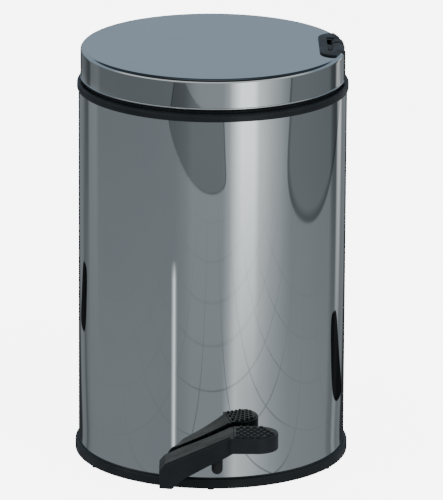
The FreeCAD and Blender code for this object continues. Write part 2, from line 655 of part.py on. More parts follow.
def make_transfer_rocker():
    """A see-saw: the crank pushes its slotted left arm down, and its right arm lifts the rod."""
    low = f"({ROD_Y} - plate / 2)"
    bar = block("rocker_bar", (f"-{ROCKER_SHORT} - 1", ROCKER_LONG), (low, f"{low} + plate"), (-5, 5))
    hub = cylinder("rocker_hub", 9, 9.4, 0, f"{ROD_Y} - 4.7", 0, "y")
    left = cylinder("rocker_left", 7.5, "plate", f"-{ROCKER_SHORT} - 1", low, 0, "y")
    right = cylinder("rocker_right", 5.4, "plate", ROCKER_LONG, low, 0, "y")
    bore = cylinder("rocker_bore", "shaft_radius + running_gap", 30, 0, f"{ROD_Y} - 15", 0, "y")
    slot = slotted("rocker_slot", 1.4, 3.7, 10, f"-{ROCKER_SHORT} - 0.7", f"{ROD_Y} - 5", 0)
    hole = cylinder("rocker_end_hole", "pin_radius", 10, ROCKER_LONG, f"{ROD_Y} - 5", 0, "y")
    solid = fuse("rocker_solid", bar, hub, left, right)
    rocker = cut("transfer_rocker_cut", solid, bore, slot, hole)
    rocker.Placement = Placement(Vector(), Rotation(Vector(0, 1, 0), SIZES["rocker_travel"] / 2))
    piece(place(rocker, ROCKER_X, 0, "pivot_z"), "transfer_rocker")
    end_x = f"({ROCKER_X} + {ROCKER_LONG} * cos(rocker_travel / 2))"
    pin = cylinder("rocker_end_rod", "pin_radius", 10.4, end_x, f"{ROD_Y} - 5.2", ROCKER_END_Z, "y")
    piece(pin, "rocker_end_pin")


def make_lift_rod():
    rod = cylinder("rod_bar", "rod_radius", "rod_top - 16", ROD_X, ROD_Y, 16)
    piece(rod, "lift_rod")


def make_rod_foot():
    """A fork on the rod's lower end straddles the rocker; the pin slides in its slots."""
    fork = block("foot_fork", (f"{ROD_X} - 6", f"{ROD_X} + 5.6"), (f"{ROD_Y} - 5.2", f"{ROD_Y} + 5.2"),
                 (3, 19.5))
    gap = block("foot_gap", (f"{ROD_X} - 9", f"{ROD_X} + 9"),
                (f"{ROD_Y} - plate / 2 - 0.6", f"{ROD_Y} + plate / 2 + 0.6"), (2, 15.2))
    slot = slotted("foot_slot", 1.2, 2.9, 14, f"{ROD_X} - 0.5", f"{ROD_Y} - 7", ROCKER_END_Z)
    seat = cylinder("foot_seat", "rod_radius", 10, ROD_X, ROD_Y, 16)
    piece(cut("rod_foot_cut", fork, gap, slot, seat), "rod_foot")


def make_rod_head():
    """A bar and a finger on the rod's upper end reach inwards, over the bucket, to the lug pin."""
    across = ("-finger_half", "finger_half")
    bar = block("head_bar", (92, "rim_inner - 0.7"), across, (348, 355.5))
    finger = block("head_finger", (92, "notch_x + 0.5"), across, (348, 384))
    middle = "(hinge_x - lug_arm * (1 + cos(lid_travel / 2)) / 2)"
    slot = slotted("head_slot", 2.7, 3.3, 10, middle, "-5", LUG_Z)
    seat = cylinder("head_seat", "rod_radius", 10, "rod_ring", 0, "rod_top - 10")
    piece(cut("rod_head_cut", fuse("head_solid", bar, finger), slot, seat), "rod_head", at_hinge=True)


# ---------------------------------------------------------------- inner bucket

def make_inner_bucket():
    pail = turned("pail", [
        (0, "bucket_bottom"), (97, "bucket_bottom"), (106.3, "bucket_rim - 4"),
        (108.2, "bucket_rim - 4"), (108.2, "bucket_rim"), ("106.3 - bucket_wall", "bucket_rim"),
        ("97 - bucket_wall", "bucket_bottom + bucket_wall"), (0, "bucket_bottom + bucket_wall")])
    bosses = [cylinder("ear_front", 5, "ear_end - 104.5", 0, "-ear_end", "bail_z", "y"),
              cylinder("ear_back", 5, "ear_end - 104.5", 0, 104.5, "bail_z", "y")]
    holes = [cylinder("ear_hole_front", "bail_wire + running_gap", 4, 0, "-ear_end - 1", "bail_z", "y"),
             cylinder("ear_hole_back", "bail_wire + running_gap", 4, 0, "ear_end - 3", "bail_z", "y")]
    piece(cut("inner_bucket_cut", fuse("bucket_solid", pail, *bosses), *holes), "inner_bucket")


def arc_tube(name, tube_radius, start, sweep):
    """A stretch of a level ring at the bail's radius."""
    ring = doc.addObject("Part::Torus", name)
    bind(ring, "Radius1", "bail_radius")
    bind(ring, "Radius2", tube_radius)
    ring.Angle3 = sweep
    ring.Placement = Placement(Vector(), Rotation(Vector(0, 0, 1), start))
    return place(ring, 0, 0, "bail_z")


def make_bucket_bail():
    """A wire half-ring that lies round the bucket, on the side away from the hinge."""
    hoop = arc_tube("bail_hoop", "bail_wire", 90, 180)
    pins = [cylinder("bail_pin_front", "bail_wire", "bail_radius - 108", 0, "-bail_radius", "bail_z", "y"),
            cylinder("bail_pin_back", "bail_wire", "bail_radius - 108", 0, 108, "bail_z", "y")]
    knees = []
    for n, y in enumerate(("-bail_radius", "bail_radius")):
        knee = doc.addObject("Part::Sphere", f"bail_knee_{n}")
        bind(knee, "Radius", "bail_wire")
        knees.append(place(knee, 0, y, "bail_z"))
    piece(fuse("bail_wire_whole", hoop, *pins, *knees), "bucket_bail")
    sleeve = arc_tube("grip_sleeve", 3.2, 162, 36)
    core = arc_tube("grip_core", "bail_wire", 150, 60)
    piece(cut("bail_grip_cut", sleeve, core), "bail_grip")


# ---------------------------------------------------------------- build, check and write

def check(thing):
    bad = {"Invalid", "Error"} & set(thing.State)
    if bad:
        raise RuntimeError(f"{thing.Label}: {sorted(bad)}")


def main():
    make_body_shell()
    make_rim_ring()
    make_base_tray()
    make_feet()
    make_front_bush()
    make_saddles()
    make_base_screws()
    make_rocker_bracket()
    make_rod_guides()
    make_hinge_housing()
    make_hinge_pin()
    make_lid_buffers()
    make_lid_shell()
    make_lid_liner()
    make_hinge_cover()
    make_lid_hinge_arm()
    make_lid_pins()
    make_pedal_lever()
    make_pedal_tread()
    make_pedal_stop()
    make_pedal_shaft()
    make_crank_arm()
    make_transfer_rocker()
    make_lift_rod()
    make_rod_foot()
    make_rod_head()
    make_inner_bucket()
    make_bucket_bail()
    doc.recompute()
    for thing in doc.Objects:
        check(thing)
    for thing in pieces:
        if thing.Shape.isNull() or not thing.Shape.isValid():
            raise RuntimeError(f"{thing.Label}: the shape is null or not valid")
    os.makedirs("parts", exist_ok=True)
    for thing in pieces:
        thing.Shape.exportStep(f"parts/{thing.Label}.step")
        print(thing.Label, len(thing.Shape.Solids), round(thing.Shape.Volume, 1))


main()
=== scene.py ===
import json
import math

import bmesh
import bpy
from mathutils import Matrix, Vector


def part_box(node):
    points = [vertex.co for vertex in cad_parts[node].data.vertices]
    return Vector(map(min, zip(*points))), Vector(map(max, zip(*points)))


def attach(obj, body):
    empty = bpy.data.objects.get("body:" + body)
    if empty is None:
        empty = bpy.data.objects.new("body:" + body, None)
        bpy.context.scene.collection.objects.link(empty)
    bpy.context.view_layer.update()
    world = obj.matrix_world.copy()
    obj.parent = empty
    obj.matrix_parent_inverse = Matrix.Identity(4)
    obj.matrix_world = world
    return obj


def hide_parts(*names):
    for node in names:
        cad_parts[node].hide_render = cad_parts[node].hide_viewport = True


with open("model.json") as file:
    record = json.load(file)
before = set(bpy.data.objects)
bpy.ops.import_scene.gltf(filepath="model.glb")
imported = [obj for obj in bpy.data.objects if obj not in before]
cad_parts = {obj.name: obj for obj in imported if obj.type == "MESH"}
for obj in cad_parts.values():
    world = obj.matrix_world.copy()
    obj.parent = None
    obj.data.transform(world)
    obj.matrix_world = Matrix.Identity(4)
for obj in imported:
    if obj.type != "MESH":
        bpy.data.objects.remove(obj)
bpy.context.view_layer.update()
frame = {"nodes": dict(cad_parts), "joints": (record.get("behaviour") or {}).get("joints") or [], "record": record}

# A polished pedal bin. The frame is in metres: the bin's axis is Z, the pedal is at the front (-Y)
# and the lid's hinge is near +X. Sizes are read from the frame, or named here where it has none.

MM = 0.001
RECORD = frame["record"]
JOINTS = {joint["name"]: joint for joint in frame["joints"]}
HINGE = Vector(JOINTS["lid_open"]["pos_m"])
HINGE_TURN = math.atan2(HINGE.y, HINGE.x)
BODY_OF = {node: body for body, nodes in RECORD["behaviour"]["bodies"].items() for node in nodes}
SLOT_OF = {entry["node"]: entry["material_slot"] for entry in RECORD["subparts"]}


def reach(node):
    """How far a round node reaches from the bin's axis, on the side away from the hinge."""
    return -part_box(node)[0].x


LID_R = reach("lid_shell")
LID_LOW, LID_TOP = (corner.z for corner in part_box("lid_shell"))
BODY_R = reach("body_shell")
BODY_LOW, BODY_TOP = (corner.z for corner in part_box("body_shell"))
RIM_R = reach("rim_ring")
RIM_LOW, RIM_TOP = (corner.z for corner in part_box("rim_ring"))
BASE_R = reach("base_tray")
BASE_LOW, FLOOR_TOP = (corner.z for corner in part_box("base_tray"))
BASE_TOP = 11.1 * MM    # the top of the base's foot ring
SHEET = 0.8 * MM        # the thickness of the steel
EDGE = 3.8 * MM         # the rounding between the lid's top and its skirt
BEAD = 1.6 * MM         # the height of the bead at the skirt's foot
BEAD_RISE = 0.4 * MM    # how far that bead stands out
NOTCH_HALF = 24 * MM    # half the width of the lid's notch round the hinge
NOTCH_X = 107 * MM      # the notch's straight edge, from the bin's axis
WELD_HALF = 0.9 * MM    # half the width of the weld up the body's back
WELD_RISE = 0.25 * MM
SUPPORT = 0.3 * MM      # keeps the shading of a sheet's cut edge off its face
SIDES = 256


# ---------------------------------------------------------------- mesh helpers

def new_object(name, mesh):
    piece = bpy.data.objects.new(name, mesh)
    bpy.context.scene.collection.objects.link(piece)
    return piece


def plain_object(name, shape):
    """A new object from a bmesh, which is used up."""
    mesh = bpy.data.meshes.new(name)
    shape.to_mesh(mesh)
    shape.free()
    return new_object(name, mesh)


def rounded(corners, radii, steps=8):
    """The outline through the corners, each one rounded by its radius; 0 keeps it sharp."""
    points = []
    count = len(corners)
    for number, (corner, radius) in enumerate(zip(corners, radii)):
        here = Vector(corner)
        before = Vector(corners[number - 1]) - here
        after = Vector(corners[(number + 1) % count]) - here
        if radius == 0:
            points.append(here)
            continue
        half = before.angle(after) / 2
        run = radius / math.tan(half)
        start = here + before.normalized() * run
        end = here + after.normalized() * run
        middle = here + (before.normalized() + after.normalized()).normalized() * radius / math.sin(half)
        sweep = (start - middle).angle_signed(end - middle)
        for step in range(steps + 1):
            arm = start - middle
            arm.rotate(Matrix.Rotation(-sweep * step / steps, 2))
            points.append(middle + arm)
    return points


def turned(profile, closed=True, sides=SIDES, start=0.0, sweep=2 * math.pi):
    """A shape made by turning a profile of (radius, height) points about Z."""
    shape = bmesh.new()
    whole = abs(sweep - 2 * math.pi) < 1e-6
    rings = []
    for turn in range(sides if whole else sides + 1):
        angle = start + sweep * turn / sides
        rings.append([shape.verts.new((r * math.cos(angle), r * math.sin(angle), z)) for r, z in profile])
    steps = len(profile) if closed else len(profile) - 1
    for turn in range(sides):
        ring, after = rings[turn], rings[(turn + 1) % len(rings)]
        for step in range(steps):
            follower = (step + 1) % len(profile)
            shape.faces.new((ring[step], after[step], after[follower], ring[follower]))
    return shape


def as_piece(name, shape):
    bmesh.ops.remove_doubles(shape, verts=shape.verts, dist=1e-7)
    bmesh.ops.recalc_face_normals(shape, faces=shape.faces)
    return smooth(plain_object(name, shape))


def lathe(name, profile, **turning):
    return as_piece(name, turned(profile, **turning))


LARGE_FACES_FIRST = 90


def smooth(piece, angle=35):
    """Smooth shading with true creases kept, and flat faces that stay flat."""
    mesh = piece.data
    mesh.shade_smooth()
    mesh.set_sharp_from_angle(angle=math.radians(angle))
    weigh = piece.modifiers.new("weigh", "WEIGHTED_NORMAL")
    weigh.keep_sharp = True
    weigh.weight = LARGE_FACES_FIRST
    return piece


def finished(piece, node):
    """Gives a piece the material and the body of the CAD node that it stands for."""
    slot = SLOT_OF[node]
    piece.data.materials.clear()
    piece.data.materials.append(MATERIALS[slot])
    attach(piece, BODY_OF[node])
    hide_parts(node)


def soft_copy(node, name, voxel, rounds=5):
    """A copy of a CAD node with its edges softened like a moulding's."""
    piece = new_object(name, frame["nodes"][node].data.copy())
    remesh = piece.modifiers.new("remesh", "REMESH")
    remesh.mode = "VOXEL"
    remesh.voxel_size = voxel
    relax = piece.modifiers.new("relax", "SMOOTH")
    relax.factor = 0.5
    relax.iterations = rounds
    bpy.context.view_layer.update()
    shape = piece.evaluated_get(bpy.context.evaluated_depsgraph_get())
    mesh = bpy.data.meshes.new_from_object(shape)
    old = piece.data
    piece.modifiers.clear()
    piece.data = mesh
    bpy.data.meshes.remove(old)
    mesh.name = name
    mesh.shade_smooth()
    return piece


# ---------------------------------------------------------------- materials

# Nearly all of a noise's values lie between these
NOISE_LOW, NOISE_HIGH = 0.3, 0.7


class Paint:
    """A node material, built step by step."""

    def __init__(self, name, **values):
        self.material = bpy.data.materials.new(name)
        self.material.use_nodes = True
        self.tree = self.material.node_tree
        self.shader = self.tree.nodes["Principled BSDF"]
        for socket, value in values.items():
            self.shader.inputs[socket.replace("_", " ")].default_value = value
        self.place = self.node("ShaderNodeTexCoord").outputs["Object"]
        self.height = None

    def node(self, kind):
        return self.tree.nodes.new(kind)

    def link(self, source, target):
        self.tree.links.new(source, target)

    def stretched(self, scale):
        mapping = self.node("ShaderNodeMapping")
        mapping.inputs["Scale"].default_value = scale
        self.link(self.place, mapping.inputs["Vector"])
        return mapping.outputs["Vector"]

    def noise(self, scale, detail=4.0, rough=0.5, stretch=None):
        made = self.node("ShaderNodeTexNoise")
        made.inputs["Scale"].default_value = scale
        made.inputs["Detail"].default_value = detail
        made.inputs["Roughness"].default_value = rough
        self.link(self.stretched(stretch) if stretch else self.place, made.inputs["Vector"])
        return made.outputs["Fac"]

    def colours(self, source, dark, light):
        """Colours the surface from dark to light by a noise."""
        ramp = self.node("ShaderNodeValToRGB")
        ends = ((NOISE_LOW, dark), (NOISE_HIGH, light))
        for element, (where, colour) in zip(ramp.color_ramp.elements, ends):
            element.position = where
            element.color = (*colour, 1)
        self.link(source, ramp.inputs["Fac"])
        self.link(ramp.outputs["Color"], self.shader.inputs["Base Color"])

    def roughness(self, source, low, high):
        """Varies the roughness from low to high by a noise."""
        made = self.node("ShaderNodeMapRange")
        for socket, value in (("From Min", NOISE_LOW), ("From Max", NOISE_HIGH),
                              ("To Min", low), ("To Max", high)):
            made.inputs[socket].default_value = value
        self.link(source, made.inputs["Value"])
        self.link(made.outputs["Result"], self.shader.inputs["Roughness"])

    def bump(self, source, strength, depth):
        """Adds bumps from a height, on top of the bumps added before."""
        made = self.node("ShaderNodeBump")
        made.inputs["Strength"].default_value = strength
        made.inputs["Distance"].default_value = depth
        self.link(source, made.inputs["Height"])
        if self.height is not None:
            self.link(self.height, made.inputs["Normal"])
        self.height = made.outputs["Normal"]
        self.link(self.height, self.shader.inputs["Normal"])


def polished_steel():
    """Mirror sheet: faint waves of the rolled sheet, fine upright polish lines, and dull smudges."""
    paint = Paint("polished_steel", Metallic=1.0)
    smudge = paint.noise(14, 5, 0.6, (1, 1, 0.7))
    paint.colours(smudge, (0.60, 0.65, 0.66), (0.64, 0.68, 0.69))
    paint.roughness(smudge, 0.012, 0.05)
    paint.bump(paint.noise(9, 2, 0.4, (1, 1, 0.25)), 0.10, 1.5 * MM)
    paint.bump(paint.noise(900, 3, 0.6, (1, 1, 0.03)), 0.03, 0.02 * MM)
    return paint.material


def moulded(name, dark, light, rough, shine):
    """Injection-moulded plastic: spark-eroded grain, soft sheen marks and slight colour drift."""
    paint = Paint(name, IOR=1.48, Specular_IOR_Level=shine)
    paint.colours(paint.noise(35, 4, 0.6), dark, light)
    paint.roughness(paint.noise(60, 5, 0.65), rough - 0.06, rough + 0.08)
    paint.bump(paint.noise(1500, 2, 0.5), 0.12, 0.06 * MM)
    paint.bump(paint.noise(70, 2, 0.5), 0.05, 0.3 * MM)
    return paint.material


def rubber():
    """Rubber: dull, pitted, and a little dusty."""
    paint = Paint("soft_rubber", IOR=1.5, Specular_IOR_Level=0.3)
    dust = paint.noise(120, 6, 0.7)
    paint.colours(dust, (0.008, 0.009, 0.010), (0.017, 0.018, 0.020))
    paint.roughness(dust, 0.68, 0.88)
    paint.bump(paint.noise(900, 3, 0.6), 0.2, 0.05 * MM)
    return paint.material


def plated(name, dark, light, rough, stretch):
    """Plated or drawn steel: fine lines along the work, mottled plating and dull handling marks."""
    paint = Paint(name, Metallic=1.0)
    mottle = paint.noise(90, 5, 0.6)
    paint.colours(mottle, dark, light)
    paint.roughness(mottle, rough - 0.06, rough + 0.1)
    paint.bump(paint.noise(1200, 3, 0.6, stretch), 0.12, 0.03 * MM)
    return paint.material


MATERIALS = {
    "polished_steel": polished_steel(),
    "black_plastic": moulded("black_plastic", (0.009, 0.0115, 0.013), (0.014, 0.0165, 0.0185), 0.34, 0.20),
    "inner_plastic": moulded("inner_plastic", (0.020, 0.021, 0.023), (0.032, 0.033, 0.035), 0.46, 0.5),
    "bucket_plastic": moulded("bucket_plastic", (0.035, 0.037, 0.040), (0.050, 0.052, 0.055), 0.40, 0.5),
    "zinc_steel": plated("zinc_steel", (0.46, 0.47, 0.49), (0.60, 0.61, 0.62), 0.38, (1, 1, 1)),
    "bright_steel": plated("bright_steel", (0.52, 0.53, 0.54), (0.66, 0.67, 0.68), 0.28, (1, 0.04, 1)),
    "soft_rubber": rubber(),
}


def dress_cad_nodes():
    """Every CAD node takes the material of its slot in the record."""
    for name, node in frame["nodes"].items():
        node.data.materials.clear()
        node.data.materials.append(MATERIALS[SLOT_OF[name]])


# ---------------------------------------------------------------- steel sheet pieces

def add_thickness(piece):
    wall = piece.modifiers.new("wall", "SOLIDIFY")
    wall.thickness = SHEET
    wall.offset = -1
    piece.modifiers.move(len(piece.modifiers) - 1, 0)


def make_body():
    """The rolled tube, and the weld that closes it at the back."""
    steps = 24
    low, high = BODY_LOW + SUPPORT, BODY_TOP - SUPPORT
    rings = [low + (high - low) * step / steps for step in range(steps + 1)]
    wall = [(BODY_R, z) for z in (BODY_LOW, *rings, BODY_TOP)]
    body = lathe("body_tube", wall, closed=False, sides=384)
    add_thickness(body)
    finished(body, "body_shell")
    sunk = BODY_R - 0.1 * MM
    strip = turned([(sunk, RIM_LOW), (sunk, BASE_TOP)], closed=False, sides=6,
                   start=math.pi / 2 - WELD_HALF / BODY_R, sweep=2 * WELD_HALF / BODY_R)
    for vertex in strip.verts:
        vertex.co.y += WELD_RISE * (1 - (vertex.co.x / WELD_HALF) ** 2)
    finished(as_piece("body_weld", strip), "body_shell")


def lid_profile():
    """From the flat top, round the edge and down the skirt to the bead at its foot."""
    quarter = [math.pi / 2 * step / 10 for step in range(11)]
    edge = [(LID_R - EDGE + EDGE * math.sin(a), LID_TOP - EDGE + EDGE * math.cos(a)) for a in quarter]
    skirt = [(LID_R, LID_TOP - EDGE - 0.4 * MM), (LID_R, (LID_TOP + LID_LOW) / 2),
             (LID_R, LID_LOW + BEAD + SUPPORT), (LID_R, LID_LOW + BEAD)]
    half_turn = [math.pi * step / 8 for step in range(1, 8)]
    bead = [(LID_R + BEAD_RISE * math.sin(a), LID_LOW + BEAD * (1 + math.cos(a)) / 2) for a in half_turn]
    return [(LID_R - EDGE - 0.4 * MM, LID_TOP), *edge, *skirt, *bead, (LID_R, LID_LOW)]


def make_lid():
    """The cap: a flat top, a rounded edge and a beaded skirt, all notched round the hinge."""
    away = math.asin(NOTCH_HALF / LID_R)
    shape = turned(lid_profile(), closed=False, sides=360, start=HINGE_TURN + away,
                   sweep=2 * (math.pi - away))
    inner = LID_R - EDGE - 0.2 * MM
    flat = [v for v in shape.verts if v.co.z > LID_TOP - 0.001 * MM and v.co.xy.length < inner]
    turn = Matrix.Rotation(HINGE_TURN, 3, "Z")
    corners = [shape.verts.new(turn @ Vector((NOTCH_X, side * NOTCH_HALF, LID_TOP)))
               for side in (-1, 1)]
    shape.faces.new(flat + corners)
    lid = as_piece("lid_cap", shape)
    add_thickness(lid)
    finished(lid, "lid_shell")


# ---------------------------------------------------------------- moulded rings

def ring_profile(corners):
    """Rounds a list of (radius, height, rounding) corners, all in millimetres."""
    points = [(r * MM, z * MM) for r, z, _ in corners]
    return rounded(points, [rounding * MM for _, _, rounding in corners])


def make_rim():
    """The ring on the body's upper edge: a fat bead outside, a neck, and a lip inside."""
    inner, neck, outer = 117.2, 121, RIM_R / MM
    wall, lip, top = (BODY_R - SHEET) / MM, RIM_LOW / MM, RIM_TOP / MM
    bead_low, shoulder = 355.2, 362.6
    ring = lathe("rim_moulding", ring_profile([
        (inner, lip, 0.6), (wall, lip, 0), (wall, bead_low + 1, 0), (wall + 0.9, bead_low + 1, 0),
        (wall + 0.9, bead_low, 0.2), (outer, bead_low, 1.0), (outer, shoulder, 2.6),
        (neck, shoulder, 0.5), (neck, top, 0.6), (inner, top, 0.7)]))
    finished(ring, "rim_ring")


def make_base():
    """The base: a foot ring outside, a skirt inside the body wall, and a raised floor."""
    inner, outer, wall = 122, BASE_R / MM, (BODY_R - SHEET) / MM
    low, under, top = BASE_LOW / MM, 44, BASE_TOP / MM
    ring = ring_profile([
        (inner, under, 1.5), (inner, low, 0.6), (outer, low, 1.2), (outer, top, 2.4),
        (wall + 0.9, top, 0.3), (wall + 0.9, top - 3, 0), (wall, top - 3, 0), (wall, FLOOR_TOP / MM, 0.8)])
    hub = 0.5 * MM
    tray = lathe("base_moulding", [(hub, under * MM), *ring, (hub, FLOOR_TOP)])
    finished(tray, "base_tray")


# ---------------------------------------------------------------- softened mouldings and pressings

# The voxel, in millimetres, that softens each node's edges
SOFTENED = {
    "pedal_lever": 0.6, "pedal_tread": 0.35, "pedal_stop": 0.4, "hinge_housing": 0.45,
    "hinge_cover": 0.3, "lid_hinge_arm": 0.45, "rod_head": 0.4, "rod_foot": 0.4,
    "non_slip_feet": 0.3, "front_bush": 0.4, "shaft_saddles": 0.5, "crank_arm": 0.4,
    "transfer_rocker": 0.4, "rocker_bracket": 0.4, "lower_rod_guide": 0.4,
    "upper_rod_guide": 0.4}


def soften_nodes():
    for node, voxel in SOFTENED.items():
        finished(soft_copy(node, node + "_softened", voxel * MM), node)


# ---------------------------------------------------------------- node helpers for the stage

def math_node(tree, kind, *sources, clamp=False):
    """A math node fed by sockets and plain numbers."""
    made = tree.nodes.new("ShaderNodeMath")
    made.operation = kind
    made.use_clamp = clamp
    for socket, source in zip(made.inputs, sources):
        if isinstance(source, (int, float)):
            socket.default_value = source
        else:
            tree.links.new(source, socket)
    return made.outputs["Value"]


def product(tree, *sources):
    result = sources[0]
    for source in sources[1:]:
        result = math_node(tree, "MULTIPLY", result, source)
    return result


def without(tree, source):
    """1 less the source, and never below 0."""
    return math_node(tree, "SUBTRACT", 1, source, clamp=True)


def vector_node(tree, kind, *sources):
    """A vector math node; its inputs are sockets, triples, or a plain number for a scale."""
    made = tree.nodes.new("ShaderNodeVectorMath")
    made.operation = kind
    sockets = [made.inputs[0], made.inputs["Scale"] if kind == "SCALE" else made.inputs[1]]
    for socket, source in zip(sockets, sources):
        if isinstance(source, (int, float, tuple)):
            socket.default_value = source
        else:
            tree.links.new(source, socket)
    return made.outputs["Value" if kind == "LENGTH" else "Vector"]


def apart(tree, vector):
    """The X, Y and Z of a vector."""
    made = tree.nodes.new("ShaderNodeSeparateXYZ")
    tree.links.new(vector, made.inputs["Vector"])
    return [made.outputs[axis] for axis in "XYZ"]


def between(tree, source, low, high):
    """0 up to low, 1 from high on."""
    made = tree.nodes.new("ShaderNodeMapRange")
    made.inputs["From Min"].default_value = low
    made.inputs["From Max"].default_value = high
    tree.links.new(source, made.inputs["Value"])
    return made.outputs["Result"]


def mixed(tree, factor, first, second):
    """The first colour where the factor is 0, and the second where it is 1."""
    made = tree.nodes.new("ShaderNodeMix")
    made.data_type = "RGBA"
    tree.links.new(factor, made.inputs["Factor"])
    colours = [socket for socket in made.inputs if socket.type == "RGBA"]
    for socket, source in zip(colours, (first, second)):
        tree.links.new(source, socket)
    return next(socket for socket in made.outputs if socket.type == "RGBA")


# The room's dark parts are a little bluish: by COOL at black, fading to nothing at COOL_BELOW
COOL = 0.09
COOL_BELOW = 0.5


def grey_ramp(tree, source, stops, cool=0.0):
    """Brightness against a 0-1 input, with cool for how bluish black would be."""
    ramp = tree.nodes.new("ShaderNodeValToRGB")
    elements = ramp.color_ramp.elements
    while len(elements) < len(stops):
        elements.new(0.5)
    for element, (where, grey) in zip(elements, stops):
        shift = cool * max(0, 1 - grey / COOL_BELOW)
        element.position = where
        element.color = (grey * (1 - shift), grey, grey * (1 + shift), 1)
    tree.links.new(source, ramp.inputs["Fac"])
    return ramp.outputs["Color"]


def emitter(name, build_colour, strength=1.0):
    """A material that glows with the colour that build_colour(tree) makes."""
    material = bpy.data.materials.new(name)
    material.use_nodes = True
    tree = material.node_tree
    tree.nodes.clear()
    out = tree.nodes.new("ShaderNodeOutputMaterial")
    glow = tree.nodes.new("ShaderNodeEmission")
    glow.inputs["Strength"].default_value = strength
    tree.links.new(glow.outputs["Emission"], out.inputs["Surface"])
    tree.links.new(build_colour(tree), glow.inputs["Color"])
    return material


# ---------------------------------------------------------------- the floor that the steel mirrors

# Brightness round the body, from its back (0), past its left side (0.25), front (0.5) and right
# side (0.75), to its back again (1): the place, the light of the floor at NEAR and that at FAR
FLOOR_STOPS = [
    (0.030, 0.02, 0.02), (0.048, 0.12, 0.12), (0.080, 0.11, 0.11), (0.092, 0.06, 0.09),
    (0.104, 0.10, 0.06), (0.118, 0.12, 0.055), (0.130, 0.13, 0.14), (0.165, 0.135, 0.155),
    (0.177, 0.135, 0.118), (0.345, 0.138, 0.125), (0.410, 0.135, 0.13), (0.437, 0.15, 0.155),
    (0.452, 0.165, 0.185), (0.525, 0.165, 0.19), (0.54, 0.27, 0.27), (0.555, 0.44, 0.60),
    (0.57, 0.39, 0.98), (0.60, 0.33, 0.95), (0.613, 0.29, 0.52), (0.645, 0.22, 0.33),
    (0.68, 0.18, 0.20), (0.70, 0.163, 0.145), (0.75, 0.155, 0.14), (0.840, 0.14, 0.125),
    (0.858, 0.10, 0.055), (0.876, 0.095, 0.05), (0.888, 0.18, 0.42), (0.900, 0.17, 0.48),
    (0.914, 0.10, 0.13), (0.950, 0.12, 0.13), (0.968, 0.02, 0.02)]
NEAR, FAR = 0.42, 1.30
FLOOR_LIGHT = 2.0
# Square tiles: their size, where a joint lies, its width, and how clear it is round the body.
# The joints fade with distance and are gone a little short of FAR.
TILE = 0.147
TILE_SHIFT = (0.083, -0.4225)
JOINT = 0.0045
JOINTS_CLEAR = [(0.28, 0.03), (0.34, 0.08), (0.42, 0.10), (0.46, 0.32), (0.54, 0.42), (0.66, 0.40),
                (0.70, 0.12), (0.80, 0.06)]
JOINTS_FADE = 1.15
# Dark things on the floor: centre, half size along and across, turn in degrees, squareness
# (2 is an ellipse) and how much of the floor's light they leave
SHADES = [
    ((-0.31, -1.285), (0.54, 0.165), 0, 10, 0.58), ((2.0, 0.66), (1.06, 1.22), 0, 10, 0.72),
    ((0.35, 0.20), (0.15, 0.060), 31, 4, 0.05), ((-0.416, 0.399), (0.12, 0.07), 141, 4, 0.06)]
OUTLINE = 0.6    # a shade is darker by this factor close to its outline
# A bright upright line: its light round the body, and the distances over which it fades out
STREAK_STOPS = [(0.4052, 0), (0.4080, 0.60), (0.4118, 0.60), (0.4146, 0)]
STREAK_FADE = (0.79, 0.86)
# Over these distances the floor grows darker on the room's left side, by this much
DUSK = (1.41, 1.45)
DUSK_STOPS = [(0.43, 0.30), (0.47, 0.0)]


def joints_of_tiles(tree, x, y):
    """1 on the thin joints between the floor tiles, 0 on the tiles."""
    marks = []
    for along, shift in zip((x, y), TILE_SHIFT):
        shifted = math_node(tree, "ADD", along, TILE / 2 - shift)
        into = math_node(tree, "PINGPONG", shifted, TILE / 2)
        marks.append(math_node(tree, "GREATER_THAN", into, TILE / 2 - JOINT / 2))
    return math_node(tree, "MAXIMUM", *marks)


def shade_of(tree, x, y, centre, half, turn, square, left):
    """The light that is left where a dark thing stands: left inside, 1 outside."""
    across = math_node(tree, "SUBTRACT", x, centre[0])
    along = math_node(tree, "SUBTRACT", y, centre[1])
    cos, sin = math.cos(math.radians(turn)), math.sin(math.radians(turn))
    powers = []
    for by_x, by_y in ((cos / half[0], sin / half[0]), (-sin / half[1], cos / half[1])):
        offset = math_node(tree, "ADD", product(tree, across, by_x), product(tree, along, by_y))
        powers.append(math_node(tree, "POWER", math_node(tree, "ABSOLUTE", offset), square))
    # The sum of the powers is 1 on the outline, which the ramp has at 0.5
    inside = product(tree, math_node(tree, "ADD", *powers), 0.5)
    dark = left * OUTLINE
    return grey_ramp(tree, inside, [(0.30, left), (0.42, dark), (0.48, dark), (0.54, 1)])


def place_on_body(tree, x, y, distance):
    """Where round the body a point of the floor is mirrored, 0 to 1, for a camera far in front."""
    angle = math_node(tree, "ARCTAN2", x, product(tree, y, -1))
    beyond = math_node(tree, "SUBTRACT", product(tree, distance, 2), BODY_R)
    on_body = math_node(tree, "DIVIDE", product(tree, angle, distance), beyond)
    return math_node(tree, "ADD", math_node(tree, "DIVIDE", on_body, math.pi), 0.5)


